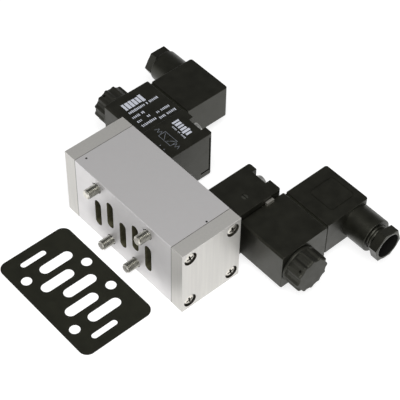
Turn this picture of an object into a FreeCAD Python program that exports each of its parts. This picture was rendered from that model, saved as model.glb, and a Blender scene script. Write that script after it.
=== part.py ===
import FreeCAD, Part
import math
import os
from FreeCAD import Vector

# Double solenoid valve for a size 1 sub-base, lying on its side as it is photographed.
# Origin: centre of the port pattern on the mounting face. X runs along the valve,
# Y goes from the mounting face into the body towards the solenoids, Z is up.
# All sizes are in millimetres.

# Body block and its end covers
BODY_LENGTH = 68.0
BODY_DEPTH = 34.5
BODY_HEIGHT = 39.5
COVER_THICKNESS = 7.5

# Port pattern of the mounting face
PORT_PITCH = 9.0
PORT_COUNT = 5
PORT_WIDTH = 4.5
PORT_LENGTH = 16.5
PORT_ROW_OFFSET = 3.0
PORT_DEPTH = 14.0

# Valve mounting screws, left in place with their ends standing out of the face
BOLT_X_UPPER = 18.0
BOLT_X_LOWER = 9.0
BOLT_Z = 14.0
BOLT_RADIUS = 2.5
BOLT_SHANK_RADIUS = 2.45
BOLT_CLEARANCE = 0.25
BOLT_LENGTH = 35.0
BOLT_PROJECTION = 6.5
BOLT_HEAD_RADIUS = 3.95
BOLT_HEAD_HEIGHT = 5.0
BOLT_SOCKET_FLATS = 4.0
SOCKET_DEPTH = 2.0
HEAD_CLEARANCE = 0.2
SCREW_CLEARANCE = 0.1

# End cover screws, pan heads in round counterbores
COVER_SCREW_Y_INSET = 4.75
COVER_SCREW_Z = 14.8
COVER_SCREW_RADIUS = 1.9
COVER_SCREW_ENGAGEMENT = 8.0
COVER_HEAD_RADIUS = 3.1
COVER_HEAD_HEIGHT = 2.2
COVER_HEAD_SINK = 1.2
COVER_BORE_RADIUS = 3.5

# Spool in its bore along X, drawn at the left end of its travel
SPOOL_RADIUS = 5.0
SPOOL_WAIST_RADIUS = 3.2
SPOOL_RUNNING_CLEARANCE = 0.05
SPOOL_TRAVEL = 4.0
SPOOL_STOP_GAP = 0.1
INNER_LAND_START = 5.2
INNER_LAND_END = 12.8
OUTER_LAND_START = 18.9

# Frame-shaped gasket in a shallow recess of each end cover
COVER_GASKET_THICKNESS = 0.5
COVER_GASKET_SIDE = 22.0
COVER_GASKET_RIM = 2.0

# Loose sub-base gasket, lying flat in front of the valve
GASKET_THICKNESS = 0.6
GASKET_LENGTH = 66.7
GASKET_WIDTH = 39.8
GASKET_CORNER = 4.5
GASKET_CENTRE_X = -0.5
GASKET_CENTRE_Y = -28.65
GASKET_PORT_WIDTH = 5.6
GASKET_PORT_LENGTH = 18.0
GASKET_PILOT_X = 26.5
GASKET_PILOT_Y = -3.8
GASKET_PILOT_WIDTH = 3.2
GASKET_PILOT_LENGTH = 14.2
GASKET_HOLE_RADIUS = 2.6

# Pilot bodies. U is the distance outward from the middle of the valve,
# W is the height above the pilots' own mid-plane.
PILOT_MID_Z = -4.0
PILOT_INNER = 13.0
PILOT_OUTER = 34.4
PILOT_BACK = 66.2
PILOT_HEIGHT = 28.0
PILOT_CORNER = 1.2
NOTCH_CENTRE = 22.5
NOTCH_WIDTH = 9.0
NOTCH_DEPTH = 2.8
NOTCH_HEIGHT = 8.0
PILOT_SCREW_W = 9.8
PILOT_SCREW_RADIUS = 1.9
PILOT_SCREW_ENGAGEMENT = 8.0
PILOT_HEAD_RADIUS = 3.4
PILOT_HEAD_HEIGHT = 2.4
PILOT_SOCKET_FLATS = 3.0
PILOT_SOCKET_DEPTH = 1.4
BORDER_WIDTH = 1.0
BORDER_DEPTH = 0.5
BORDER_LOW = -11.5
BORDER_HIGH = 11.0
BORDER_FOOT = 6.0
PILOT_GASKET_THICKNESS = 0.8
PILOT_GASKET_LENGTH = 16.0
PILOT_GASKET_HEIGHT = 10.0
PILOT_PORT_RADIUS = 1.0
PILOT_PORT_SPREAD = 5.0
GALLERY_Y = 25.0

# Armature tube, plunger and return spring on the pilot's axis
AXIS_Y = 50.3
SEAT_U = 26.5
ORIFICE_RADIUS = 0.6
TUBE_START = 29.5
TUBE_RADIUS = 4.6
TUBE_BORE = 4.0
TUBE_CLEARANCE = 0.1
TUBE_END = 69.8
CORE_START = 49.0
PLUNGER_RADIUS = 3.93
PLUNGER_NECK_RADIUS = 2.4
PLUNGER_SHOULDER = 28.5
PLUNGER_TRAVEL = 0.8
SPRING_POCKET_RADIUS = 2.3
SPRING_RADIUS = 1.7
SPRING_WIRE = 0.45
SPRING_TURNS = 4
SPRING_STEPS = 10
SPRING_LENGTH = 8.0

# Manual override, a slotted cam pin turned with a screwdriver
OVERRIDE_U = 27.1
OVERRIDE_RADIUS = 1.6
OVERRIDE_CLEARANCE = 0.05
OVERRIDE_INNER_W = 5.2
OVERRIDE_SINK = 0.2
OVERRIDE_NOSE_RADIUS = 0.5
OVERRIDE_NOSE_OFFSET = 0.8
OVERRIDE_NOSE_W = 3.2
OVERRIDE_BORE_W = 3.0
OVERRIDE_SLOT_WIDTH = 0.6
OVERRIDE_SLOT_DEPTH = 0.8

# Coil in its moulded cover, with a yoke plate let into its inner face and three blade terminals
YOKE_GAP = 0.3
YOKE_THICKNESS = 1.4
YOKE_WIDTH = 19.0
YOKE_HEIGHT = 18.0
YOKE_LUG_Y = 58.3
YOKE_LUG_WIDTH = 4.4
YOKE_LUG_TOP = 12.4
COIL_GAP = 0.4
COIL_OUTER = 63.2
COIL_FRONT = 40.2
COIL_BACK = 68.2
COIL_HEIGHT = 21.4
COIL_EDGE = 0.8
BOSS_LENGTH = 18.0
BOSS_HEIGHT = 14.0
BOSS_RISE = 2.2
BLADE_SPREAD = 5.5
BLADE_WIDTH = 4.0
BLADE_THICKNESS = 0.8
BLADE_LENGTH = 8.0

# Fluted coil nut; the two nuts have come to rest at different turns, given in degrees
NUT_RADIUS = 9.8
NUT_LENGTH = 9.7
NUT_RING_LENGTH = 1.6
NUT_FLUTES = 12
NUT_FLUTE_DEPTH = 0.9
NUT_LAND_SHARE = 0.2
NUT_BORE_END_GAP = 0.3
NUT_TURN_RIGHT = 2.4
NUT_TURN_LEFT = 17.4

# Cable plug: gasket, hood, contact block, fixing screw and gland
PLUG_INNER = 34.7
PLUG_OUTER = 62.3
PLUG_GASKET_THICKNESS = 1.4
PLUG_GASKET_INSET = 0.5
PLUG_BACK = 95.9
PLUG_HEIGHT = 19.4
PLUG_CORNER = 1.4
PLUG_WALL = 1.8
PLUG_BACK_WALL = 3.6
PANEL_LENGTH = 15.5
PANEL_DEPTH = 15.6
PANEL_FROM_BACK = 3.2
PANEL_FROM_OUTER = 5.3
PANEL_CORNER = 2.0
PANEL_LINE = 0.5
PANEL_ENGRAVING = 0.25
BLOCK_START = 70.9
BLOCK_DEPTH = 9.0
BLOCK_CLEARANCE = 0.1
PLUG_SCREW_RADIUS = 1.4
PLUG_HEAD_RADIUS = 2.8
PLUG_HEAD_HEIGHT = 2.0
PLUG_SCREW_SINK = 0.6
PLUG_SCREW_END = 63.0
PLUG_SLOT_WIDTH = 0.8
GLAND_Y = 88.5
GLAND_RADIUS = 8.6
GLAND_END = 75.6
GLAND_BORE = 6.3
GLAND_WINDOW = 8.0
SEAL_START = 66.0
SEAL_LENGTH = 4.0
SEAL_BORE = 3.6
SEAL_RADIUS = 6.2

# Gland nuts, screwed in to different depths and turns (degrees), as no cable is clamped
GLAND_NUT_LENGTH = 10.5
GLAND_NUT_NECK = 6.2
GLAND_NUT_HEX_LENGTH = 4.8
GLAND_NUT_FLATS = 15.0
GLAND_NUT_BORE = 5.5
GLAND_NUT_END_RIGHT = 83.4
GLAND_NUT_END_LEFT = 80.5
GLAND_NUT_TURN_RIGHT = -12.0
GLAND_NUT_TURN_LEFT = 0.0

# Flat sides given to repeated and hidden round features and to the panel line's corners,
# to keep the model light
SMALL_SIDES = 20
HIDDEN_SIDES = 12
SHANK_SIDES = 6
CORNER_FLATS = 3

# Positions that follow from the sizes above
FLOOR_Z = -BODY_HEIGHT / 2
HALF_BODY = BODY_LENGTH / 2
OUTER_X = HALF_BODY + COVER_THICKNESS
BORE_Y = BODY_DEPTH / 2
BOLT_SEAT = BOLT_LENGTH - BOLT_PROJECTION
COVER_SEAT = OUTER_X - COVER_HEAD_SINK - COVER_HEAD_HEIGHT
HALF_PILOT = PILOT_HEIGHT / 2
PILOT_BASE = BODY_DEPTH + PILOT_GASKET_THICKNESS
PORT_FEED = NOTCH_CENTRE - PILOT_PORT_SPREAD
PORT_WORK = NOTCH_CENTRE + PILOT_PORT_SPREAD
NOTCH_FLOOR = PILOT_BACK - NOTCH_DEPTH
YOKE_FACE = PILOT_OUTER + YOKE_GAP
COIL_INNER = PILOT_OUTER + COIL_GAP
TUBE_HOLE = TUBE_RADIUS + TUBE_CLEARANCE
HALF_PLUG = PLUG_HEIGHT / 2
PLUG_MID = (PLUG_INNER + PLUG_OUTER) / 2
PLUG_FRONT = COIL_BACK + PLUG_GASKET_THICKNESS
PLUG_SCREW_SEAT = PLUG_BACK - PLUG_SCREW_SINK - PLUG_HEAD_HEIGHT
CUT = 1.0
SAME_LENGTH = 1e-6

X_AXIS = Vector(1, 0, 0)
Y_AXIS = Vector(0, 1, 0)
Z_AXIS = Vector(0, 0, 1)
# For each axis, the two directions that span a section across it
SECTION = {"x": (X_AXIS, Y_AXIS, Z_AXIS), "y": (Y_AXIS, X_AXIS, Z_AXIS), "z": (Z_AXIS, X_AXIS, Y_AXIS)}


def block(x0, x1, y0, y1, z0, z1):
    return Part.makeBox(x1 - x0, y1 - y0, z1 - z0, Vector(x0, y0, z0))


def section_point(axis, along, centre, across, up):
    """Point at a distance along the axis and an offset from the centre of its section."""
    direction, first, second = SECTION[axis]
    return direction * along + first * (centre[0] + across) + second * (centre[1] + up)


def rod(axis, radius, start, end, centre):
    """Round bar along an axis; centre holds the other two coordinates."""
    base = section_point(axis, start, centre, 0, 0)
    return Part.makeCylinder(radius, end - start, base, SECTION[axis][0])


def prism(axis, points, start, end):
    """Straight solid whose outline is a closed list of points at the start."""
    outline = Part.makePolygon(points + points[:1])
    return Part.Face(outline).extrude(SECTION[axis][0] * (end - start))


def sided_rod(axis, radius, start, end, centre, sides=SMALL_SIDES):
    """Bar with flat sides whose corners lie on the radius."""
    points = []
    for k in range(sides):
        angle = 2 * math.pi * k / sides
        points.append(section_point(axis, start, centre, radius * math.cos(angle), radius * math.sin(angle)))
    return prism(axis, points, start, end)


def sided_hole(axis, radius, start, end, centre, sides=SMALL_SIDES):
    """Cutter with flat sides that lie on the radius, so that a round bar of that radius fits."""
    return sided_rod(axis, radius / math.cos(math.pi / sides), start, end, centre, sides)


def slot(axis, width, length, start, end, centre):
    """Cutter for an oblong opening, long in the section's second direction, with rounded ends."""
    radius = width / 2
    straight = length / 2 - radius
    half = SMALL_SIDES // 2
    points = []
    for end_sign in (1, -1):
        for k in range(half + 1):
            angle = math.pi * k / half
            across = end_sign * radius * math.cos(angle)
            up = end_sign * (straight + radius * math.sin(angle))
            points.append(section_point(axis, start, centre, across, up))
    return prism(axis, points, start, end)


def headed_screw(axis, sizes, tip, seat, centre, sides=HIDDEN_SIDES):
    """Screw with a shank of flat sides; sizes are shank radius, head radius and head height."""
    shank_radius, head_radius, head_height = sizes
    shank = sided_rod(axis, shank_radius, tip, seat, centre, SHANK_SIDES)
    return shank.fuse(sided_rod(axis, head_radius, seat, seat + head_height, centre, sides))


def edges_along(shape, direction):
    """Straight edges of a shape that run along one direction."""
    found = []
    for edge in shape.Edges:
        run = edge.lastVertex().Point - edge.firstVertex().Point
        if abs(run.dot(direction)) > run.Length - SAME_LENGTH:
            found.append(edge)
    return found


def rear_edges(shape, back):
    return [e for e in edges_along(shape, Z_AXIS) if abs(e.CenterOfMass.y - back) < SAME_LENGTH]


def port_centres():
    """Port positions and their offset, which alternates along the valve."""
    first = -PORT_PITCH * (PORT_COUNT - 1) / 2
    for k in range(PORT_COUNT):
        yield first + k * PORT_PITCH, PORT_ROW_OFFSET if k % 2 else -PORT_ROW_OFFSET


def bolt_centres():
    for side in (-1, 1):
        yield side * BOLT_X_UPPER, BOLT_Z
        yield side * BOLT_X_LOWER, -BOLT_Z


def cover_screw_centres():
    for y in (COVER_SCREW_Y_INSET, BODY_DEPTH - COVER_SCREW_Y_INSET):
        for z in (-COVER_SCREW_Z, COVER_SCREW_Z):
            yield y, z


def turn_to_left(shape):
    """Copy of a right-hand part, turned half round about the body's middle."""
    turned = shape.copy()
    turned.rotate(Vector(0, 0, 0), Y_AXIS, 180)
    return turned


def place_pilot_part(shape, side):
    """Move a part from the pilots' own frame to the right side, or turned half round to the left."""
    placed = shape.copy() if side > 0 else turn_to_left(shape)
    placed.translate(Vector(0, 0, PILOT_MID_Z))
    return placed


def valve_body():
    body = block(-HALF_BODY, HALF_BODY, 0, BODY_DEPTH, FLOOR_Z, -FLOOR_Z)
    bore_radius = SPOOL_RADIUS + SPOOL_RUNNING_CLEARANCE
    cutters = [rod("x", bore_radius, -HALF_BODY - CUT, HALF_BODY + CUT, (BORE_Y, 0))]
    for x, z in port_centres():
        cutters.append(slot("y", PORT_WIDTH, PORT_LENGTH, -CUT, PORT_DEPTH, (x, z)))
    for centre in bolt_centres():
        cutters.append(sided_hole("y", BOLT_RADIUS + BOLT_CLEARANCE, -CUT, BODY_DEPTH + CUT, centre))
        cutters.append(sided_hole("y", BOLT_HEAD_RADIUS + HEAD_CLEARANCE, BOLT_SEAT, BODY_DEPTH + CUT,
                                  centre, HIDDEN_SIDES))
    screw_hole = COVER_SCREW_RADIUS + SCREW_CLEARANCE
    for centre in cover_screw_centres():
        tip = HALF_BODY - COVER_SCREW_ENGAGEMENT - CUT
        hole = sided_hole("x", screw_hole, tip, HALF_BODY + CUT, centre, SHANK_SIDES)
        cutters += [hole, turn_to_left(hole)]
    for side in (-1, 1):
        for w in (-PILOT_SCREW_W, PILOT_SCREW_W):
            hole = sided_hole("y", PILOT_SCREW_RADIUS + SCREW_CLEARANCE,
                              BODY_DEPTH - PILOT_SCREW_ENGAGEMENT - CUT, BODY_DEPTH + CUT,
                              (NOTCH_CENTRE, w), SHANK_SIDES)
            cutters.append(place_pilot_part(hole, side))
        cutters += [place_pilot_part(passage, side) for passage in body_passages()]
    return body.cut(cutters)


def body_passages():
    """Supply passage from the bore to the pilot, and working passage from the pilot to the end cover."""
    supply = sided_hole("y", PILOT_PORT_RADIUS, GALLERY_Y, BODY_DEPTH + CUT, (PORT_FEED, 0), SHANK_SIDES)
    link = sided_hole("x", PILOT_PORT_RADIUS, -CUT, PORT_FEED, (GALLERY_Y, 0), SHANK_SIDES)
    drop = sided_hole("y", PILOT_PORT_RADIUS, BORE_Y, GALLERY_Y, (0, 0), SHANK_SIDES)
    working = sided_hole("y", PILOT_PORT_RADIUS, GALLERY_Y, BODY_DEPTH + CUT, (PORT_WORK, 0), SHANK_SIDES)
    outlet = sided_hole("x", PILOT_PORT_RADIUS, PORT_WORK, HALF_BODY + CUT, (GALLERY_Y, 0), SHANK_SIDES)
    return [supply.fuse([link, drop]), working.fuse(outlet)]


def gasket_recess(start):
    half = COVER_GASKET_SIDE / 2
    return block(start, HALF_BODY + COVER_GASKET_THICKNESS, BORE_Y - half, BORE_Y + half, -half, half)


def end_cover():
    cover = block(HALF_BODY, OUTER_X, 0, BODY_DEPTH, FLOOR_Z, -FLOOR_Z)
    cutters = [gasket_recess(HALF_BODY - CUT)]
    for centre in cover_screw_centres():
        hole = COVER_SCREW_RADIUS + SCREW_CLEARANCE
        cutters.append(sided_hole("x", hole, HALF_BODY - CUT, OUTER_X, centre, SHANK_SIDES))
        cutters.append(sided_hole("x", COVER_BORE_RADIUS, COVER_SEAT, OUTER_X + CUT, centre))
    return cover.cut(cutters)


def end_cover_gasket():
    half = COVER_GASKET_SIDE / 2 - COVER_GASKET_RIM
    window = block(HALF_BODY - CUT, OUTER_X, BORE_Y - half, BORE_Y + half, -half, half)
    return gasket_recess(HALF_BODY).cut(window)


def end_cover_screws():
    sizes = (COVER_SCREW_RADIUS, COVER_HEAD_RADIUS, COVER_HEAD_HEIGHT)
    tip = HALF_BODY - COVER_SCREW_ENGAGEMENT
    screws = []
    for centre in cover_screw_centres():
        screws.append(headed_screw("x", sizes, tip, COVER_SEAT, centre, SMALL_SIDES))
    return Part.makeCompound(screws)


def mounting_screws():
    screws = []
    top = BOLT_SEAT + BOLT_HEAD_HEIGHT
    for centre in bolt_centres():
        screw = rod("y", BOLT_RADIUS, -BOLT_PROJECTION, 0, centre)
        screw = screw.fuse(sided_rod("y", BOLT_SHANK_RADIUS, 0, BOLT_SEAT, centre, HIDDEN_SIDES))
        screw = screw.fuse(sided_rod("y", BOLT_HEAD_RADIUS, BOLT_SEAT, top, centre, HIDDEN_SIDES))
        socket = BOLT_SOCKET_FLATS / 2
        screws.append(screw.cut(sided_hole("y", socket, top - SOCKET_DEPTH, top + CUT, centre, 6)))
    return Part.makeCompound(screws)


def spool():
    """Turned spool with four lands and three waists."""
    end = HALF_BODY + COVER_GASKET_THICKNESS - SPOOL_STOP_GAP - SPOOL_TRAVEL / 2
    steps = [
        (INNER_LAND_START, SPOOL_WAIST_RADIUS), (INNER_LAND_START, SPOOL_RADIUS),
        (INNER_LAND_END, SPOOL_RADIUS), (INNER_LAND_END, SPOOL_WAIST_RADIUS),
        (OUTER_LAND_START, SPOOL_WAIST_RADIUS), (OUTER_LAND_START, SPOOL_RADIUS),
        (end, SPOOL_RADIUS), (end, 0),
    ]
    right = [Vector(x, radius, 0) for x, radius in steps]
    left = [Vector(-x, radius, 0) for x, radius in reversed(steps)]
    outline = Part.makePolygon(left + right + left[:1])
    shape = Part.Face(outline).revolve(Vector(0, 0, 0), X_AXIS, 360)
    shape.translate(Vector(-SPOOL_TRAVEL / 2, BORE_Y, 0))
    return shape


def subbase_gasket():
    z0 = FLOOR_Z
    z1 = FLOOR_Z + GASKET_THICKNESS
    x = GASKET_CENTRE_X
    y = GASKET_CENTRE_Y
    sheet = block(x - GASKET_LENGTH / 2, x + GASKET_LENGTH / 2,
                  y - GASKET_WIDTH / 2, y + GASKET_WIDTH / 2, z0, z1)
    sheet = sheet.makeFillet(GASKET_CORNER, edges_along(sheet, Z_AXIS))
    cutters = []
    for u, row in port_centres():
        cutters.append(slot("z", GASKET_PORT_WIDTH, GASKET_PORT_LENGTH, z0 - CUT, z1 + CUT, (x + u, y - row)))
    for u in (-GASKET_PILOT_X, GASKET_PILOT_X):
        centre = (x + u, y + GASKET_PILOT_Y)
        cutters.append(slot("z", GASKET_PILOT_WIDTH, GASKET_PILOT_LENGTH, z0 - CUT, z1 + CUT, centre))
    for u, w in bolt_centres():
        cutters.append(sided_hole("z", GASKET_HOLE_RADIUS, z0 - CUT, z1 + CUT, (x + u, y - w)))
    return sheet.cut(cutters)


def pilot_gasket():
    gasket = gasket_pad(BODY_DEPTH)
    for u in (PORT_FEED, PORT_WORK):
        hole = sided_hole("y", PILOT_PORT_RADIUS, BODY_DEPTH - CUT, PILOT_BASE + CUT, (u, 0), SHANK_SIDES)
        gasket = gasket.cut(hole)
    return gasket


def gasket_pad(start):
    half = PILOT_GASKET_HEIGHT / 2
    return block(NOTCH_CENTRE - PILOT_GASKET_LENGTH / 2, NOTCH_CENTRE + PILOT_GASKET_LENGTH / 2,
                 start, PILOT_BASE, -half, half)


def pilot_passages():
    """Supply passage with the orifice under the plunger, and working passage out of the chamber."""
    feed_end = AXIS_Y + PILOT_PORT_RADIUS
    feed = sided_hole("y", PILOT_PORT_RADIUS, BODY_DEPTH, feed_end, (PORT_FEED, 0), SHANK_SIDES)
    orifice = sided_hole("x", ORIFICE_RADIUS, PORT_FEED, SEAT_U + CUT, (AXIS_Y, 0), SHANK_SIDES)
    work = sided_hole("y", PILOT_PORT_RADIUS, BODY_DEPTH, AXIS_Y, (PORT_WORK, 0), SHANK_SIDES)
    return [feed.fuse(orifice), work]


def border_groove():
    """Right-angled groove in the inner face, which frames the writing field."""
    back = PILOT_BACK - BORDER_WIDTH
    upright = block(PILOT_INNER - CUT, PILOT_INNER + BORDER_DEPTH, back - BORDER_WIDTH, back,
                    BORDER_LOW, BORDER_HIGH)
    foot = block(PILOT_INNER - CUT, PILOT_INNER + BORDER_DEPTH, back - BORDER_FOOT, back,
                 BORDER_HIGH - BORDER_WIDTH, BORDER_HIGH)
    return upright.fuse(foot)


def pilot_body():
    body = block(PILOT_INNER, PILOT_OUTER, BODY_DEPTH, PILOT_BACK, -HALF_PILOT, HALF_PILOT)
    body = body.makeFillet(PILOT_CORNER, rear_edges(body, PILOT_BACK))
    cutters = [gasket_pad(BODY_DEPTH - CUT), border_groove()]
    for side in (-1, 1):
        w0, w1 = sorted((side * (HALF_PILOT - NOTCH_HEIGHT), side * (HALF_PILOT + CUT)))
        cutters.append(block(NOTCH_CENTRE - NOTCH_WIDTH / 2, NOTCH_CENTRE + NOTCH_WIDTH / 2,
                             NOTCH_FLOOR, PILOT_BACK + CUT, w0, w1))
        cutters.append(sided_hole("y", PILOT_SCREW_RADIUS + SCREW_CLEARANCE, BODY_DEPTH - CUT,
                                  NOTCH_FLOOR + CUT, (NOTCH_CENTRE, side * PILOT_SCREW_W), SHANK_SIDES))
    cutters.append(sided_hole("x", TUBE_HOLE, SEAT_U, PILOT_OUTER + CUT, (AXIS_Y, 0), HIDDEN_SIDES))
    cutters.append(sided_hole("z", OVERRIDE_RADIUS + OVERRIDE_CLEARANCE, OVERRIDE_BORE_W,
                              HALF_PILOT + CUT, (OVERRIDE_U, AXIS_Y), HIDDEN_SIDES))
    return body.cut(cutters + pilot_passages())


def pilot_screws():
    sizes = (PILOT_SCREW_RADIUS, PILOT_HEAD_RADIUS, PILOT_HEAD_HEIGHT)
    tip = BODY_DEPTH - PILOT_SCREW_ENGAGEMENT
    top = NOTCH_FLOOR + PILOT_HEAD_HEIGHT
    screws = []
    for w in (-PILOT_SCREW_W, PILOT_SCREW_W):
        centre = (NOTCH_CENTRE, w)
        screw = headed_screw("y", sizes, tip, NOTCH_FLOOR, centre)
        socket = sided_hole("y", PILOT_SOCKET_FLATS / 2, top - PILOT_SOCKET_DEPTH, top + CUT, centre, 6)
        screws.append(screw.cut(socket))
    return Part.makeCompound(screws)


def manual_override():
    top = HALF_PILOT - OVERRIDE_SINK
    centre = (OVERRIDE_U, AXIS_Y)
    pin = rod("z", OVERRIDE_RADIUS, OVERRIDE_INNER_W, top, centre)
    slot_floor = top - OVERRIDE_SLOT_DEPTH
    pin = pin.cut(block(OVERRIDE_U - OVERRIDE_RADIUS, OVERRIDE_U + OVERRIDE_RADIUS,
                        AXIS_Y - OVERRIDE_SLOT_WIDTH / 2, AXIS_Y + OVERRIDE_SLOT_WIDTH / 2,
                        slot_floor, top + CUT))
    nose = sided_rod("z", OVERRIDE_NOSE_RADIUS, OVERRIDE_NOSE_W, OVERRIDE_INNER_W,
                     (OVERRIDE_U, AXIS_Y + OVERRIDE_NOSE_OFFSET), SHANK_SIDES)
    return pin.fuse(nose)


def armature_tube():
    """Tube whose outer end is closed by the fixed core and takes the coil nut."""
    tube = sided_rod("x", TUBE_RADIUS, TUBE_START, TUBE_END, (AXIS_Y, 0), HIDDEN_SIDES)
    return tube.cut(sided_hole("x", TUBE_BORE, TUBE_START - CUT, CORE_START, (AXIS_Y, 0), HIDDEN_SIDES))


def plunger():
    end = CORE_START - PLUNGER_TRAVEL
    shape = sided_rod("x", PLUNGER_NECK_RADIUS, SEAT_U, PLUNGER_SHOULDER, (AXIS_Y, 0), HIDDEN_SIDES)
    shape = shape.fuse(rod("x", PLUNGER_RADIUS, PLUNGER_SHOULDER, end, (AXIS_Y, 0)))
    pocket_floor = CORE_START - SPRING_LENGTH
    pocket = sided_hole("x", SPRING_POCKET_RADIUS, pocket_floor, end + CUT, (AXIS_Y, 0), HIDDEN_SIDES)
    return shape.cut(pocket)


def plunger_spring():
    """Coil spring of square wire, lofted through sections that step round a helix."""
    half = SPRING_WIRE / 2
    advance = (SPRING_LENGTH - SPRING_WIRE) / (SPRING_TURNS * SPRING_STEPS)
    start = CORE_START - SPRING_LENGTH + half
    sections = []
    for k in range(SPRING_TURNS * SPRING_STEPS + 1):
        angle = 2 * math.pi * k / SPRING_STEPS
        x = start + k * advance
        corners = []
        for radius, offset in ((-half, -half), (half, -half), (half, half), (-half, half)):
            reach = SPRING_RADIUS + radius
            corners.append(Vector(x + offset, AXIS_Y + reach * math.cos(angle), reach * math.sin(angle)))
        sections.append(Part.makePolygon(corners + corners[:1]))
    return Part.makeLoft(sections, True, True)


def yoke_outline():
    """Plate between pilot and coil, with a lug that stands up out of the coil."""
    end = YOKE_FACE + YOKE_THICKNESS
    half_width = YOKE_WIDTH / 2
    half_lug = YOKE_LUG_WIDTH / 2
    plate = block(YOKE_FACE, end, AXIS_Y - half_width, AXIS_Y + half_width, -YOKE_HEIGHT / 2, YOKE_HEIGHT / 2)
    return plate.fuse(block(YOKE_FACE, end, YOKE_LUG_Y - half_lug, YOKE_LUG_Y + half_lug, 0, YOKE_LUG_TOP))


def coil_yoke():
    hole = sided_hole("x", TUBE_HOLE, PILOT_OUTER, COIL_OUTER, (AXIS_Y, 0), HIDDEN_SIDES)
    return yoke_outline().cut(hole)


def terminal_boss(start, end):
    return block(PLUG_MID - BOSS_LENGTH / 2, PLUG_MID + BOSS_LENGTH / 2, start, end,
                 -BOSS_HEIGHT / 2, BOSS_HEIGHT / 2)


def coil_body():
    half = COIL_HEIGHT / 2
    coil = block(COIL_INNER, COIL_OUTER, COIL_FRONT, COIL_BACK, -half, half)
    coil = coil.makeChamfer(COIL_EDGE, edges_along(coil, X_AXIS))
    top = COIL_BACK + BOSS_RISE
    coil = coil.fuse(terminal_boss(COIL_BACK - CUT, top))
    screw_hole = PLUG_SCREW_RADIUS + SCREW_CLEARANCE
    return coil.cut([
        yoke_outline(),
        sided_hole("x", TUBE_HOLE, COIL_INNER - CUT, COIL_OUTER + CUT, (AXIS_Y, 0), HIDDEN_SIDES),
        sided_hole("y", screw_hole, PLUG_SCREW_END - CUT, top + CUT, (PLUG_MID, 0), SHANK_SIDES),
    ])


def coil_terminals():
    root = COIL_BACK + BOSS_RISE
    tip = root + BLADE_LENGTH
    thin = BLADE_THICKNESS / 2
    wide = BLADE_WIDTH / 2
    blades = []
    for u in (PLUG_MID - BLADE_SPREAD, PLUG_MID + BLADE_SPREAD):
        blades.append(block(u - thin, u + thin, root, tip, -wide, wide))
    blades.append(block(PLUG_MID - wide, PLUG_MID + wide, root, tip,
                        -BLADE_SPREAD - thin, -BLADE_SPREAD + thin))
    return Part.makeCompound(blades)


def coil_nut(side):
    turn = math.radians(NUT_TURN_RIGHT if side > 0 else NUT_TURN_LEFT)
    crest = COIL_OUTER + NUT_RING_LENGTH
    end = COIL_OUTER + NUT_LENGTH
    ring = rod("x", NUT_RADIUS, COIL_OUTER, crest, (AXIS_Y, 0))
    points = []
    for k in range(2 * NUT_FLUTES):
        radius = NUT_RADIUS - NUT_FLUTE_DEPTH * (k % 2)
        for edge in (-NUT_LAND_SHARE, NUT_LAND_SHARE):
            angle = math.pi * (k + edge) / NUT_FLUTES + turn
            across = radius * math.cos(angle)
            points.append(section_point("x", crest, (AXIS_Y, 0), across, radius * math.sin(angle)))
    nut = ring.fuse(prism("x", points, crest, end))
    bore_end = TUBE_END + NUT_BORE_END_GAP
    return nut.cut(sided_hole("x", TUBE_HOLE, COIL_OUTER - CUT, bore_end, (AXIS_Y, 0), HIDDEN_SIDES))


def plug_gasket():
    half = HALF_PLUG - PLUG_GASKET_INSET
    sheet = block(PLUG_INNER + PLUG_GASKET_INSET, PLUG_OUTER - PLUG_GASKET_INSET, COIL_BACK, PLUG_FRONT,
                  -half, half)
    return sheet.cut(terminal_boss(COIL_BACK - CUT, PLUG_FRONT + CUT))


def rounded_panel(inset):
    """Cutter for the hood's panel, drawn in by an inset, with short flats round its corners."""
    centre = (PLUG_OUTER - PANEL_FROM_OUTER - PANEL_LENGTH / 2, PLUG_BACK - PANEL_FROM_BACK - PANEL_DEPTH / 2)
    radius = PANEL_CORNER - inset
    floor = HALF_PLUG - PANEL_ENGRAVING
    points = []
    for corner, (across, up) in enumerate(((1, 1), (-1, 1), (-1, -1), (1, -1))):
        for k in range(CORNER_FLATS + 1):
            angle = math.pi / 2 * (corner + k / CORNER_FLATS)
            x = across * (PANEL_LENGTH / 2 - PANEL_CORNER) + radius * math.cos(angle)
            y = up * (PANEL_DEPTH / 2 - PANEL_CORNER) + radius * math.sin(angle)
            points.append(section_point("z", floor, centre, x, y))
    return prism("z", points, floor, HALF_PLUG + CUT)


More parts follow.
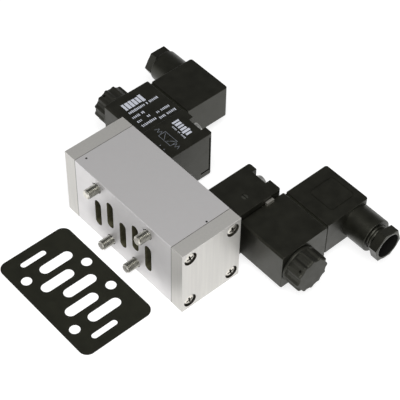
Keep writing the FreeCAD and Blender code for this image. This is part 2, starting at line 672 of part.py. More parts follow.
def plug_housing():
    hood = block(PLUG_INNER, PLUG_OUTER, PLUG_FRONT, PLUG_BACK, -HALF_PLUG, HALF_PLUG)
    hood = hood.makeFillet(PLUG_CORNER, rear_edges(hood, PLUG_BACK))
    hood = hood.fuse(rod("x", GLAND_RADIUS, PLUG_OUTER - PLUG_CORNER, GLAND_END, (GLAND_Y, 0)))
    half_cavity = HALF_PLUG - PLUG_WALL
    cavity = block(PLUG_INNER + PLUG_WALL, PLUG_OUTER - PLUG_WALL, PLUG_FRONT - CUT,
                   PLUG_BACK - PLUG_BACK_WALL, -half_cavity, half_cavity)
    half_window = GLAND_WINDOW / 2
    window = block(PLUG_OUTER - PLUG_WALL - CUT, SEAL_START + CUT, GLAND_Y - half_window,
                   PLUG_BACK - PLUG_BACK_WALL, -half_window, half_window)
    cutters = [
        cavity,
        window,
        sided_hole("x", GLAND_BORE, SEAL_START, GLAND_END + CUT, (GLAND_Y, 0), HIDDEN_SIDES),
        sided_hole("y", PLUG_SCREW_RADIUS + SCREW_CLEARANCE, PLUG_BACK - PLUG_BACK_WALL - CUT,
                   PLUG_BACK + CUT, (PLUG_MID, 0), SHANK_SIDES),
        sided_hole("y", PLUG_HEAD_RADIUS + HEAD_CLEARANCE, PLUG_SCREW_SEAT, PLUG_BACK + CUT,
                   (PLUG_MID, 0), HIDDEN_SIDES),
    ]
    frame_line = rounded_panel(0).cut(rounded_panel(PANEL_LINE))
    return hood.cut(cutters + [frame_line])


def plug_insert():
    """Contact block whose pockets take the coil's blades."""
    half = HALF_PLUG - PLUG_WALL - BLOCK_CLEARANCE
    end = BLOCK_START + BLOCK_DEPTH
    insert = block(PLUG_INNER + PLUG_WALL + BLOCK_CLEARANCE, PLUG_OUTER - PLUG_WALL - BLOCK_CLEARANCE,
                   BLOCK_START, end, -half, half)
    cutters = []
    for blade in coil_terminals().Solids:
        box = blade.BoundBox
        box.enlarge(BLOCK_CLEARANCE)
        cutters.append(block(box.XMin, box.XMax, BLOCK_START - CUT, box.YMax, box.ZMin, box.ZMax))
    cutters.append(sided_hole("y", PLUG_SCREW_RADIUS + SCREW_CLEARANCE, BLOCK_START - CUT, end + CUT,
                              (PLUG_MID, 0), SHANK_SIDES))
    return insert.cut(cutters)


def plug_screw():
    sizes = (PLUG_SCREW_RADIUS, PLUG_HEAD_RADIUS, PLUG_HEAD_HEIGHT)
    top = PLUG_SCREW_SEAT + PLUG_HEAD_HEIGHT
    screw = headed_screw("y", sizes, PLUG_SCREW_END, PLUG_SCREW_SEAT, (PLUG_MID, 0))
    half = PLUG_SLOT_WIDTH / 2
    return screw.cut(block(PLUG_MID - PLUG_HEAD_RADIUS, PLUG_MID + PLUG_HEAD_RADIUS,
                           top - PLUG_SLOT_WIDTH, top + CUT, -half, half))


def gland_seal():
    end = SEAL_START + SEAL_LENGTH
    seal = sided_rod("x", SEAL_RADIUS, SEAL_START, end, (GLAND_Y, 0), HIDDEN_SIDES)
    return seal.cut(sided_hole("x", SEAL_BORE, SEAL_START - CUT, end + CUT, (GLAND_Y, 0), HIDDEN_SIDES))


def gland_nut(side):
    """Hollow hexagon nut; its screwed neck reaches into the hood's barrel."""
    end = GLAND_NUT_END_RIGHT if side > 0 else GLAND_NUT_END_LEFT
    turn = GLAND_NUT_TURN_RIGHT if side > 0 else GLAND_NUT_TURN_LEFT
    start = end - GLAND_NUT_LENGTH
    shoulder = end - GLAND_NUT_HEX_LENGTH
    nut = sided_hole("x", GLAND_NUT_FLATS / 2, shoulder, end, (GLAND_Y, 0), 6)
    nut.rotate(Vector(0, GLAND_Y, 0), X_AXIS, turn)
    nut = nut.fuse(sided_hole("x", GLAND_NUT_NECK, start, shoulder, (GLAND_Y, 0), HIDDEN_SIDES))
    return nut.cut(rod("x", GLAND_NUT_BORE, start - CUT, end + CUT, (GLAND_Y, 0)))


SINGLE_PARTS = [valve_body, mounting_screws, spool, subbase_gasket]
COVER_PARTS = [end_cover, end_cover_gasket, end_cover_screws]
PILOT_PARTS = [
    pilot_gasket, pilot_body, pilot_screws, manual_override, armature_tube, plunger, plunger_spring,
    coil_yoke, coil_body, coil_terminals, plug_gasket, plug_housing, plug_insert, plug_screw, gland_seal,
]
# Parts whose two copies differ, made once for each side
SIDED_PARTS = [coil_nut, gland_nut]


def export(name, shape):
    shape.exportStep(f"parts/{name}.step")


os.makedirs("parts", exist_ok=True)
for make in SINGLE_PARTS:
    export(make.__name__, make())
for make in COVER_PARTS:
    right = make()
    export(make.__name__ + "_right", right)
    export(make.__name__ + "_left", turn_to_left(right))
for make in PILOT_PARTS:
    part = make()
    export(make.__name__ + "_right", place_pilot_part(part, 1))
    export(make.__name__ + "_left", place_pilot_part(part, -1))
for make in SIDED_PARTS:
    export(make.__name__ + "_right", place_pilot_part(make(1), 1))
    export(make.__name__ + "_left", place_pilot_part(make(-1), -1))
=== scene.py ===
# %% [markdown]
# # A double solenoid valve, dressed for its photograph
# The CAD model comes first. It holds every part at its real size and place, in metres, and
# nothing in it is moved. Each step below gives a part its finish, or makes a finer skin that
# stands for it. The pilots lie behind the body, one on each side, with coil, plug and gland.

# %% Load the frame
import bpy
import bmesh
from math import cos, pi, radians, sin
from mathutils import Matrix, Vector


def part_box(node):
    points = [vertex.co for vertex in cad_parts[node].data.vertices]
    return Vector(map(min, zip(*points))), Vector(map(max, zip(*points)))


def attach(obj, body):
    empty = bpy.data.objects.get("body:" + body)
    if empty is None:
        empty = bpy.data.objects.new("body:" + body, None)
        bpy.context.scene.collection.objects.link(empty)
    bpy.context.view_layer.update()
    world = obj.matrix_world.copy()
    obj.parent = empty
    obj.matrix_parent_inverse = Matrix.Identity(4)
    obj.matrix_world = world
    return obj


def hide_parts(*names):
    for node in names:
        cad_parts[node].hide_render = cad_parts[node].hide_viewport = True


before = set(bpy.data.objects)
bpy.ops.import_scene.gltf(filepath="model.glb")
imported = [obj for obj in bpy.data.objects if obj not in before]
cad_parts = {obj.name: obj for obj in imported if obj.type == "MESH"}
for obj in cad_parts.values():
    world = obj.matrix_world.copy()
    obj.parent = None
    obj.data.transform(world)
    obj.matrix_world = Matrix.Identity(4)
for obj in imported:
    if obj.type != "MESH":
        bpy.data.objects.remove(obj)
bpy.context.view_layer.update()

MM = 0.001
SIDES = {"left": -1, "right": 1}
print("parts in the frame:", len(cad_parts))

# %% [markdown]
# ## The camera
# The photograph was taken with a long lens from above the front right. Its place was found by
# matching corners of the body and the gasket to the photograph, so it is written as numbers.
# A long lens keeps the far plug nearly as large as the near one.

# %% Place the camera
PHOTO_WIDTH = 400
FOCAL_LENGTH_IN_PIXELS = 1352.0
SENSOR_WIDTH = 36
CAMERA_PLACE = (0.31709, -0.24090, 0.47302)
CAMERA_DEGREES = (41.365, -0.792, 48.639)


def into_scene(name, data):
    """A new object, linked to the scene."""
    made = bpy.data.objects.new(name, data)
    bpy.context.scene.collection.objects.link(made)
    return made


camera = into_scene("photo_camera", bpy.data.cameras.new("photo_camera"))
camera.data.sensor_fit = "HORIZONTAL"
camera.data.sensor_width = SENSOR_WIDTH
camera.data.lens = FOCAL_LENGTH_IN_PIXELS * SENSOR_WIDTH / PHOTO_WIDTH
camera.location = CAMERA_PLACE
camera.rotation_euler = [radians(angle) for angle in CAMERA_DEGREES]
bpy.context.scene.camera = camera
bpy.context.scene.view_settings.view_transform = "Standard"
print("lens:", round(camera.data.lens, 1), "mm")

# %% [markdown]
# ## Building node trees
# Materials and Geometry Nodes are both node trees. One helper adds a node, sets its values and
# links its inputs, which keeps every tree below short enough to read.

# %% Helpers for node trees
def feed(tree, socket, value):
    """Links another node's output to an input, or sets a plain value on it."""
    if isinstance(value, bpy.types.NodeSocket):
        tree.links.new(value, socket)
    else:
        socket.default_value = value


def node(tree, kind, inputs=None, **settings):
    """Adds a node. An input is given a plain value, or another node's output to link."""
    made = tree.nodes.new(kind)
    for key, value in settings.items():
        setattr(made, key, value)
    for key, value in (inputs or {}).items():
        feed(tree, made.inputs[key], value)
    return made


def calc(tree, operation, *values):
    """One step of arithmetic on numbers or outputs."""
    inputs = dict(enumerate(values))
    return node(tree, "ShaderNodeMath", inputs, operation=operation).outputs[0]


def between(tree, value, low, high, start, end):
    """Maps a value from one range to another and stays inside it."""
    inputs = {"Value": value, "From Min": low, "From Max": high, "To Min": start, "To Max": end}
    return node(tree, "ShaderNodeMapRange", inputs).outputs["Result"]


def mixed(tree, share, first, second):
    """A blend of two colours by a share. Each is a plain colour or another node's output."""
    mix = node(tree, "ShaderNodeMix", {"Factor": share}, data_type="RGBA")
    sockets = [socket for socket in mix.inputs if socket.type == "RGBA"]
    for socket, value in zip(sockets, (first, second)):
        feed(tree, socket, value)
    return [socket for socket in mix.outputs if socket.type == "RGBA"][0]


def paint(red, green, blue):
    """A screen colour, 0 to 255, as the linear colour that a shader takes."""
    channels = []
    for part in (red, green, blue):
        share = part / 255
        channels.append(share / 12.92 if share <= 0.04045 else ((share + 0.055) / 1.055) ** 2.4)
    return (*channels, 1)


print("mid grey is", [round(part, 3) for part in paint(128, 128, 128)[:3]])

# %% [markdown]
# ## Floor and surroundings
# The valve lies on a white table in a white tent that is open and dim overhead. The upright
# faces mirror the table and look pale, and the level faces mirror the dim part and look dark.
# The table glows a little for the camera and for mirror images, and it still takes shadows.

# %% Make the table
TABLE_REACH = 3.0
TABLE_GAP = 0.02 * MM
TABLE_GREY = (176, 176, 176)
TABLE_GLOW = 0.75


def seen_or_mirrored(tree, strength):
    """A strength for rays from the camera and for mirrored and refracted rays, and else 0."""
    rays = node(tree, "ShaderNodeLightPath").outputs
    bounced = calc(tree, "MAXIMUM", rays["Is Glossy Ray"], rays["Is Transmission Ray"])
    return calc(tree, "MULTIPLY", calc(tree, "MAXIMUM", rays["Is Camera Ray"], bounced), strength)


def make_table():
    """A large level sheet just under the body."""
    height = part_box("valve_body")[0].z - TABLE_GAP
    corners = [(x * TABLE_REACH, y * TABLE_REACH, height)
               for x, y in ((-1, -1), (1, -1), (1, 1), (-1, 1))]
    sheet = bpy.data.meshes.new("table")
    sheet.from_pydata(corners, [], [(0, 1, 2, 3)])
    coat = bpy.data.materials.new("white_table")
    coat.use_nodes = True
    tree = coat.node_tree
    tree.nodes.clear()
    matt = node(tree, "ShaderNodeBsdfDiffuse", {"Color": paint(*TABLE_GREY)})
    glow = node(tree, "ShaderNodeEmission", {"Strength": seen_or_mirrored(tree, TABLE_GLOW)})
    both = node(tree, "ShaderNodeAddShader", {0: matt.outputs[0], 1: glow.outputs[0]})
    node(tree, "ShaderNodeOutputMaterial", {"Surface": both.outputs[0]})
    sheet.materials.append(coat)
    table = into_scene("table", sheet)
    print("table at a height of", round(height / MM, 2), "mm")


make_table()

# %% Make the tent and the lamp
WALL_FOOT, WALL_TOP = 0.02, 0.35
FOOT_STRENGTH, TOP_STRENGTH = 0.95, 0.2


def make_tent():
    """A world that is bright near the horizon, dim above, and white to the camera."""
    world = bpy.data.worlds.new("white_tent")
    bpy.context.scene.world = world
    world.use_nodes = True
    tree = world.node_tree
    tree.nodes.clear()
    direction = node(tree, "ShaderNodeTexCoord").outputs["Generated"]
    height = node(tree, "ShaderNodeSeparateXYZ", {0: direction}).outputs["Z"]
    wall = between(tree, height, WALL_FOOT, WALL_TOP, FOOT_STRENGTH, TOP_STRENGTH)
    seen = node(tree, "ShaderNodeLightPath").outputs["Is Camera Ray"]
    back = node(tree, "ShaderNodeBackground", {"Strength": calc(tree, "MAXIMUM", wall, seen)})
    node(tree, "ShaderNodeOutputWorld", {"Surface": back.outputs[0]})


def make_lamp(name, place, size, watts):
    """A square lamp that points at the middle of the part."""
    lamp = into_scene(name, bpy.data.lights.new(name, "AREA"))
    lamp.data.size = size
    lamp.data.energy = watts
    lamp.location = place
    lamp.rotation_euler = (-lamp.location).to_track_quat("-Z", "Y").to_euler()


make_tent()
make_lamp("soft_box", place=(0.45, -0.35, 1.0), size=1.0, watts=14.0)
print("lights:", [item.name for item in bpy.data.lights])

# %% [markdown]
# ## Finishes
# No real surface is one flat colour. Each finish takes two shades and two roughness values and
# lets one noise pattern wander between them, and a finer noise raises the grain. The pattern
# uses the piece's own coordinates, so that it keeps its real scale on every part. Stretching
# it along one direction turns grain into the marks of a milling cutter.

# %% A helper that makes a finish
EVEN = (1, 1, 1)
ALONG_X = (0.02, 1, 1)
ALONG_Z = (1, 1, 0.03)
NOISE_DETAIL = 3.0
NOISE_SPAN = (0.3, 0.7)
WHITE = (255, 255, 255)


def noise(tree, scale, stretch):
    """Noise with its features 1/scale metres apart, stretched where told."""
    place = node(tree, "ShaderNodeTexCoord").outputs["Object"]
    spread = node(tree, "ShaderNodeMapping", {"Vector": place, "Scale": stretch}).outputs[0]
    inputs = {"Vector": spread, "Scale": scale, "Detail": NOISE_DETAIL}
    return node(tree, "ShaderNodeTexNoise", inputs).outputs[0]


def make_finish(name, shades, roughness, cloud, grain, lift, metallic=0.0, ior=1.5, sheen=WHITE):
    """A material between two shades and two roughness values, with a raised grain.

    cloud and grain are (scale, stretch) of the wandering noise and of the raised one, and lift is
    the grain's height in metres.
    """
    finish = bpy.data.materials.new(name)
    finish.use_nodes = True
    tree = finish.node_tree
    shader = tree.nodes["Principled BSDF"]
    wander = between(tree, noise(tree, *cloud), *NOISE_SPAN, 0.0, 1.0)
    raised = {"Height": noise(tree, *grain), "Strength": 1.0, "Distance": lift}
    values = {
        "Metallic": metallic, "IOR": ior, "Specular Tint": paint(*sheen),
        "Base Color": mixed(tree, wander, paint(*shades[0]), paint(*shades[1])),
        "Roughness": between(tree, wander, 0.0, 1.0, *roughness),
        "Normal": node(tree, "ShaderNodeBump", raised).outputs[0],
    }
    for key, value in values.items():
        feed(tree, shader.inputs[key], value)
    return finish


print("the shades change over where the noise is between", *NOISE_SPAN)

# %% [markdown]
# ## Metals
# The body is milled from drawn aluminium bar, and its marks run along it. The end covers were
# sawn off another bar, so their marks stand upright. Both are brushed lightly enough to scatter
# some light, which is why they are not wholly metallic here. Screws are zinc plated steel, and
# the pilot screws are nickel plated.

# %% Metal finishes
MILLED = make_finish("milled_aluminium", ((236, 234, 234), (226, 224, 224)), (0.42, 0.5),
                     (60, EVEN), (5000, ALONG_X), 0.004 * MM, metallic=0.65)
COVER = make_finish("sawn_aluminium", ((219, 217, 212), (213, 211, 207)), (0.42, 0.5),
                    (900, ALONG_Z), (4000, ALONG_Z), 0.003 * MM, metallic=0.65)
ZINC = make_finish("zinc_plated_steel", ((238, 235, 226), (216, 212, 202)), (0.28, 0.4),
                   (900, EVEN), (3000, EVEN), 0.003 * MM, metallic=0.9)
BRIGHT = make_finish("drawn_steel", ((214, 214, 212), (196, 196, 194)), (0.18, 0.28),
                     (400, EVEN), (4000, ALONG_X), 0.003 * MM, metallic=1.0)
STUD = make_finish("dull_zinc", ((180, 179, 172), (142, 141, 133)), (0.28, 0.4),
                   (700, EVEN), (3000, EVEN), 0.003 * MM, metallic=1.0)
NICKEL = make_finish("nickel_plate", ((240, 240, 236), (226, 226, 222)), (0.3, 0.4),
                     (600, EVEN), (3000, EVEN), 0.003 * MM, metallic=1.0)
# Painted shade for the deep insides of the ports and of the cover bores, on a dull rough surface.
PORT_SHADE = make_finish("oiled_bore", ((98, 95, 72), (74, 72, 54)), (0.6, 0.75),
                        (400, EVEN), (3000, EVEN), 0.01 * MM, metallic=0.4)
BORE_SHADE = make_finish("dry_bore", ((46, 42, 31), (24, 22, 14)), (0.55, 0.7),
                        (400, EVEN), (3000, EVEN), 0.01 * MM, metallic=0.4)
TINNED = make_finish("tinned_brass", ((216, 212, 200), (200, 194, 178)), (0.26, 0.36),
                     (500, EVEN), (3500, EVEN), 0.003 * MM, metallic=1.0)
print("finishes so far:", len(bpy.data.materials))

# %% [markdown]
# ## Plastic, rubber and ink
# The coil covers, pilots and plugs are moulded in black glass-filled nylon. Its skin copies
# the spark-eroded mould, which leaves a very fine even grain. The sub-base gasket is punched
# from rubber sheet, duller than the plastic.

# %% Plastic, rubber and ink finishes
WARM = (255, 254, 236)
BLACK = make_finish("moulded_nylon", ((17, 17, 13), (26, 26, 21)), (0.32, 0.42),
                    (180, EVEN), (3500, EVEN), 0.012 * MM, sheen=WARM)
KNOB = make_finish("knob_nylon", ((18, 18, 15), (27, 27, 23)), (0.46, 0.56),
                   (220, EVEN), (3500, EVEN), 0.012 * MM, sheen=WARM)
# A pale finish that is a painted highlight, on the override pin's top and the gland nuts' end
# faces.
PALE_HIGHLIGHT = make_finish("worn_pin", ((46, 46, 42), (58, 58, 54)), (0.3, 0.42),
                   (600, EVEN), (3500, EVEN), 0.006 * MM, sheen=WARM)
# A matt finish whose darker colour is painted shade inside the gland nuts' bores.
MATT_BORE_SHADE = make_finish("matt_bore", ((9, 9, 7), (14, 14, 11)), (0.85, 0.95),
                         (250, EVEN), (2500, EVEN), 0.02 * MM, ior=1.3)
RUBBER = make_finish("rubber_sheet", ((17, 18, 11), (25, 26, 18)), (0.6, 0.72),
                     (250, EVEN), (2500, EVEN), 0.02 * MM, ior=1.4, sheen=WARM)
INK = make_finish("white_ink", ((214, 217, 226), (188, 192, 204)), (0.45, 0.6),
                  (1500, EVEN), (4000, EVEN), 0.002 * MM)
FADED_INK = make_finish("faded_ink", ((140, 145, 154), (96, 100, 108)), (0.45, 0.6),
                        (700, EVEN), (4000, EVEN), 0.002 * MM)
print("finishes in all:", len(bpy.data.materials))

# %% [markdown]
# ## Small dark marks and joint lines
# Two small pin marks sit on the body's top, and beside two of the studs the gap round the screw's
# hole lies in shade, which is painted as a dark spot; all are about a millimetre wide. Geometry
# that small would cost more than it shows. The shader measures the distance to each spot's centre
# instead and blends to a dark shade inside it. The gap where a cover meets the body lies in shade
# too, so both finishes darken in a hair line of painted shade at one distance from the middle.

# %% Add the marks and the joint lines
# The first two are pin marks on the top; the last two are painted shade in the gap round a stud's
# hole.
BODY_SPOTS = [(33.06, 21.4, 19.75, 0.62), (-31.45, 4.85, 19.75, 0.62),
              (-20.7, 0, 15.2, 0.5), (15.2, 0, 14.9, 0.5)]
SPOT_SHADE = (24, 24, 20)
SPOT_CORE = 0.7
JOINT_X = 34.0
JOINT_HALF_WIDTH = 0.22
JOINT_PAINTED_SHADE = (118, 115, 110)
JOINT_CORE = 0.4


def blend_in(finish, shade, share_at):
    """Blends a finish to a shade. share_at builds the share from the tree and the place."""
    tree = finish.node_tree
    base = tree.nodes["Principled BSDF"].inputs["Base Color"]
    place = node(tree, "ShaderNodeTexCoord").outputs["Object"]
    plain = base.links[0].from_socket
    tree.links.new(mixed(tree, share_at(tree, place), plain, paint(*shade)), base)


def in_spots(tree, place):
    """1 inside the spots, each given by its centre and its radius in millimetres."""
    covered = 0.0
    for *centre, radius in BODY_SPOTS:
        ends = {0: place, 1: [value * MM for value in centre]}
        gap = node(tree, "ShaderNodeVectorMath", ends, operation="DISTANCE").outputs["Value"]
        inside = between(tree, gap, SPOT_CORE * radius * MM, radius * MM, 1.0, 0.0)
        covered = calc(tree, "MAXIMUM", inside, covered)
    return covered


def at_joint(tree, place):
    """1 where a cover meets the body, on both sides."""
    along = calc(tree, "ABSOLUTE", node(tree, "ShaderNodeSeparateXYZ", {0: place}).outputs["X"])
    gap = calc(tree, "ABSOLUTE", calc(tree, "SUBTRACT", along, JOINT_X * MM))
    return between(tree, gap, JOINT_CORE * JOINT_HALF_WIDTH * MM, JOINT_HALF_WIDTH * MM, 1.0, 0.0)


blend_in(MILLED, SPOT_SHADE, in_spots)
# Painted shade along the gap where each cover meets the body.
for finish in (MILLED, COVER):
    blend_in(finish, JOINT_PAINTED_SHADE, at_joint)
print("marks:", len(BODY_SPOTS), "and joint lines", JOINT_X, "mm from the middle")

# %% [markdown]
# ## Finish the parts that keep their CAD shape
# Springs, plungers, the spool and other inner parts already have the right shape. They only
# need their finish, which goes into their own material slots.

# %% Give each CAD part its finish
FINISH_OF = {
    "valve_body": MILLED, "mounting_screws": STUD, "spool": BRIGHT, "subbase_gasket": RUBBER,
    "end_cover": COVER, "end_cover_gasket": RUBBER, "end_cover_screws": ZINC,
    "pilot_gasket": RUBBER, "pilot_body": BLACK, "pilot_screws": NICKEL,
    # The override pin's pale finish is a painted highlight.
    "manual_override": PALE_HIGHLIGHT, "armature_tube": BRIGHT, "plunger": BRIGHT,
    "plunger_spring": BRIGHT, "coil_yoke": ZINC, "coil_body": BLACK, "coil_terminals": TINNED,
    "coil_nut": KNOB, "plug_gasket": RUBBER, "plug_housing": BLACK, "plug_insert": BLACK,
    "plug_screw": ZINC, "gland_seal": RUBBER, "gland_nut": BLACK,
}


def finish_for(part):
    """A CAD part's finish, which is the same on both sides."""
    return FINISH_OF[part.removesuffix("_left").removesuffix("_right")]


for name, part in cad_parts.items():
    part.data.materials.clear()
    part.data.materials.append(finish_for(name))

# %% [markdown]
# ## Softened edges
# A machined or moulded edge is never perfectly sharp, and its thin highlight is what makes a
# block look real. A copy of the CAD mesh is merged and its flat triangles are joined, and then
# only the outer edges are rounded. Holes and cavities inside stay as the CAD has them.

# %% A helper that settles a piece's surface
SMOOTH_UP_TO = radians(35)
LARGE_FACE = 8 * MM * MM
LARGE_MANY_SIDED = 20 * MM * MM
BENT = 0.2


def made_plain(piece):
    """Applies the piece's modifiers: the evaluated shape becomes its own mesh."""
    evaluated = piece.evaluated_get(bpy.context.evaluated_depsgraph_get())
    mesh = bpy.data.meshes.new_from_object(evaluated)
    piece.modifiers.clear()
    piece.data = mesh


def keep_flat(mesh):
    """Gives a large flat face its own direction at each corner, which a rounded edge can bend.

    A face counts as bent when a corner's direction is off by more than BENT, about 11 degrees.
    The faces of turned shapes are off by less, and they stay smooth.
    """
    directions = [corner.vector.copy() for corner in mesh.corner_normals]
    for face in mesh.polygons:
        bend = max((directions[k] - face.normal).length for k in face.loop_indices)
        is_bent = face.area > LARGE_FACE and bend > BENT
        is_large = face.area > LARGE_MANY_SIDED and len(face.vertices) > 4
        if is_bent or is_large:
            for k in face.loop_indices:
                directions[k] = face.normal
    mesh.normals_split_custom_set(directions)


def settle(piece, finish):
    """Outward faces, smooth shading that leaves large faces flat, and one finish."""
    form = bmesh.new()
    form.from_mesh(piece.data)
    bmesh.ops.recalc_face_normals(form, faces=form.faces)
    form.to_mesh(piece.data)
    form.free()
    piece.data.polygons.foreach_set("use_smooth", [True] * len(piece.data.polygons))
    piece.data.set_sharp_from_angle(angle=SMOOTH_UP_TO)
    weighted = piece.modifiers.new("flat faces stay flat", "WEIGHTED_NORMAL")
    weighted.weight = 100
    weighted.keep_sharp = True
    made_plain(piece)
    keep_flat(piece.data)
    piece.data.materials.clear()
    piece.data.materials.append(finish)


print("edges up to 35 degrees are shaded smooth")

# %% A helper that rounds outer edges
SAME_POINT = 1e-6
SAME_PLANE = radians(0.5)
SHARP_FROM = radians(25)
SLACK = 0.01 * MM


def stand_for(piece, part):
    """Hides the CAD part that a piece stands for, and hangs the piece on the valve's body."""
    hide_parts(part)
    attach(piece, "valve")


def soften(part, rounding, is_outer, steps=3):
    """A copy of a CAD part with rounded outer edges. is_outer gets an edge's middle."""
    piece = into_scene(part + "_skin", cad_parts[part].data.copy())
    form = bmesh.new()
    form.from_mesh(piece.data)
    bmesh.ops.remove_doubles(form, verts=form.verts, dist=SAME_POINT)
    bmesh.ops.dissolve_limit(form, angle_limit=SAME_PLANE, verts=form.verts, edges=form.edges)
    sharp = []
    for edge in form.edges:
        if len(edge.link_faces) == 2 and edge.calc_face_angle_signed() > SHARP_FROM:
            if is_outer((edge.verts[0].co + edge.verts[1].co) / 2):
                sharp.append(edge)
    bmesh.ops.bevel(form, geom=sharp, offset=rounding, offset_type="OFFSET", segments=steps,
                    profile=0.5, affect="EDGES", clamp_overlap=True)
    form.to_mesh(piece.data)
    form.free()
    settle(piece, finish_for(part))
    stand_for(piece, part)
    print("edges rounded on", part + ":", len(sharp))
    return piece


def on_block(low, high, corner=0.0):
    """A test for edges on the outline of a block whose corners may be cut or rounded already."""
    def test(middle):
        gaps = sorted(min(abs(middle[axis] - low[axis]), abs(high[axis] - middle[axis]))
                      for axis in range(3))
        if gaps[0] > SLACK:
            return False
        beside_corner = abs(gaps[1] - corner) < SLACK or gaps[1] + gaps[2] < corner + SLACK
        return gaps[1] < SLACK or beside_corner
    return test


# %% Round the body and its covers
BLOCK_ROUNDING = 0.2 * MM
block_skins = {}
for part in ("valve_body", "end_cover_left", "end_cover_right"):
    block_skins[part] = soften(part, BLOCK_ROUNDING, on_block(*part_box(part)), steps=2)

# %% [markdown]
# ## Dark ports and screw bores
# The ports are milled slots whose walls are dull, and little light comes back out of them. The
# covers' screw bores lie in as deep a shade. The faces deeper than the outer planes take a second
# material, whose dark colour is painted shade.

# %% Darken the inside of the body and its covers
BELOW_SURFACE = 0.25 * MM


def refinish(piece, finish, test):
    """Gives the faces that pass a test another finish. The test gets a face's centre."""
    chosen = [face for face in piece.data.polygons if test(face.center)]
    for face in chosen:
        face.material_index = len(piece.data.materials)
    piece.data.materials.append(finish)
    print("faces with", finish.name, "on", piece.name + ":", len(chosen))


def inside(low, high):
    """A test for places deeper than a block's outer planes."""
    return lambda centre: min(min(centre[axis] - low[axis], high[axis] - centre[axis])
                              for axis in range(3)) > BELOW_SURFACE


# The faces deep inside take painted shade.
for part, skin in block_skins.items():
    refinish(skin, PORT_SHADE if part == "valve_body" else BORE_SHADE, inside(*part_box(part)))

# %% [markdown]
# ## Moulded parts
# The pilots, coils, plugs and their gaskets are blocks with extra forms on them. The left ones
# are the right ones turned by half a turn, so one helper turns distances outward, in depth and
# above the pilots' mid-plane into a place. Each test names the block that is rounded, so that a
# barrel, boss or socket on it is left alone.

# %% Places on a pilot
PILOT_Z = -4.0
PILOT_BACK = 66.2
PILOT_HALF_HEIGHT = 14.0
PILOT_SCREW_U = 22.5
NOTCH_HALF_WIDTH = 4.6
NOTCH_FROM = 63.3
GLAND_Y = 88.5
BARREL_END = 75.6
BARREL_INNER = 8.2


def pilot_point(side, u, y, w):
    """A place given outward from the middle, in depth and above the pilots' mid-plane."""
    sign = SIDES[side]
    return (sign * u * MM, y * MM, (sign * w + PILOT_Z) * MM)


def pilot_block(side, low, high):
    """Lowest and highest corners of a block given as pilot_point takes its places."""
    ends = [pilot_point(side, *corner) for corner in (low, high)]
    return [[pick(end[axis] for end in ends) for axis in range(3)] for pick in (min, max)]


def off_gland_axis(place):
    """A place's distance from the plug's and gland's axis, in millimetres."""
    return ((place.y / MM - GLAND_Y) ** 2 + (place.z / MM - PILOT_Z) ** 2) ** 0.5


print("the pilots' mid-plane is at", PILOT_Z, "mm and the glands' axis at", GLAND_Y, "mm")

# %% Round the moulded parts
def in_notch(middle):
    """Edges of the screw notches at a pilot's back, where they meet its outer faces."""
    u, y, w = abs(middle.x) / MM, middle.y / MM, abs(middle.z / MM - PILOT_Z)
    on_face = w > PILOT_HALF_HEIGHT - SLACK / MM or y > PILOT_BACK - SLACK / MM
    return abs(u - PILOT_SCREW_U) < NOTCH_HALF_WIDTH and y > NOTCH_FROM and on_face


def at_barrel_end(middle):
    """The outer edge of the plug's barrel."""
    at_end = abs(abs(middle.x) - BARREL_END * MM) < SLACK
    return at_end and off_gland_axis(middle) > BARREL_INNER


def either(*tests):
    """A test that is passed when one of several is."""
    return lambda middle: any(test(middle) for test in tests)


# Rounding, lowest and highest corner, the block's own corner cut, and a test for more edges.
MOULDINGS = {
    "pilot_body": (0.22, (13.0, 34.5, -PILOT_HALF_HEIGHT), (34.4, PILOT_BACK, PILOT_HALF_HEIGHT),
                   1.2, [in_notch]),
    "coil_body": (0.22, (34.8, 40.2, -10.7), (63.2, 68.2, 10.7), 0.8, []),
    "plug_housing": (0.4, (34.7, 69.6, -9.7), (62.3, 95.9, 9.7), 1.4, [at_barrel_end]),
    "plug_gasket": (0.15, (35.2, 68.2, -9.2), (61.8, 69.6, 9.2), 0.0, []),
}
for side in SIDES:
    for name, (rounding, low, high, corner, more) in MOULDINGS.items():
        on_outline = on_block(*pilot_block(side, low, high), corner * MM)
        soften(name + "_" + side, rounding * MM, either(on_outline, *more))

# %% [markdown]
# ## The loose sub-base gasket
# It is punched from thin rubber sheet, and the punch draws its edges in a little. The holes and
# windows are in the CAD mesh already, so only the edges of its two faces are rounded.

# %% Round the gasket's edges
GASKET_ROUNDING = 0.1 * MM
gasket_low, gasket_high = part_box("subbase_gasket")


def on_sheet_face(middle):
    """Edges on the sheet's upper or lower face."""
    return min(middle.z - gasket_low.z, gasket_high.z - middle.z) < SLACK


soften("subbase_gasket", GASKET_ROUNDING, on_sheet_face, steps=2)

# %% [markdown]
# ## Turned parts from one rule
# Nuts, screws and studs are all turned on a lathe: a half section goes round an axis. What
# differs is a pattern pressed into the surface: a thread, flutes for the fingers, or the flats
# of a spanner. One Geometry Nodes tree does all of them. A grid is wrapped round the axis, each
# of its rows takes its reach from one point of the section, and the pattern lowers it there.
# A thread is a pattern with one start that climbs as it goes round, so it needs no rule of its
# own. Each point of the section says what happens to its row: 1 presses the pattern into it, -1
# trims it to the flats, and 0 leaves it round.

# %% Build the tree for turned parts
SEAM_GAP = 0.5e-6


def new_tree(name, sockets):
    """A tree that takes and gives geometry, with named inputs for its sizes."""
    tree = bpy.data.node_groups.new(name, "GeometryNodeTree")
    for way in ("INPUT", "OUTPUT"):
        tree.interface.new_socket("Geometry", in_out=way, socket_type="NodeSocketGeometry")
    for label, kind, value in sockets:
        made = tree.interface.new_socket(label, in_out="INPUT", socket_type="NodeSocket" + kind)
        if value is not None:
            made.default_value = value
    return tree, node(tree, "NodeGroupInput").outputs


def close_tree(tree, geometry, material):
    """Every tree ends in Realize Instances and Set Material."""
    real = node(tree, "GeometryNodeRealizeInstances", {0: geometry}).outputs[0]
    inputs = {"Geometry": real, "Material": material}
    painted = node(tree, "GeometryNodeSetMaterial", inputs).outputs[0]
    node(tree, "NodeGroupOutput", {0: painted})


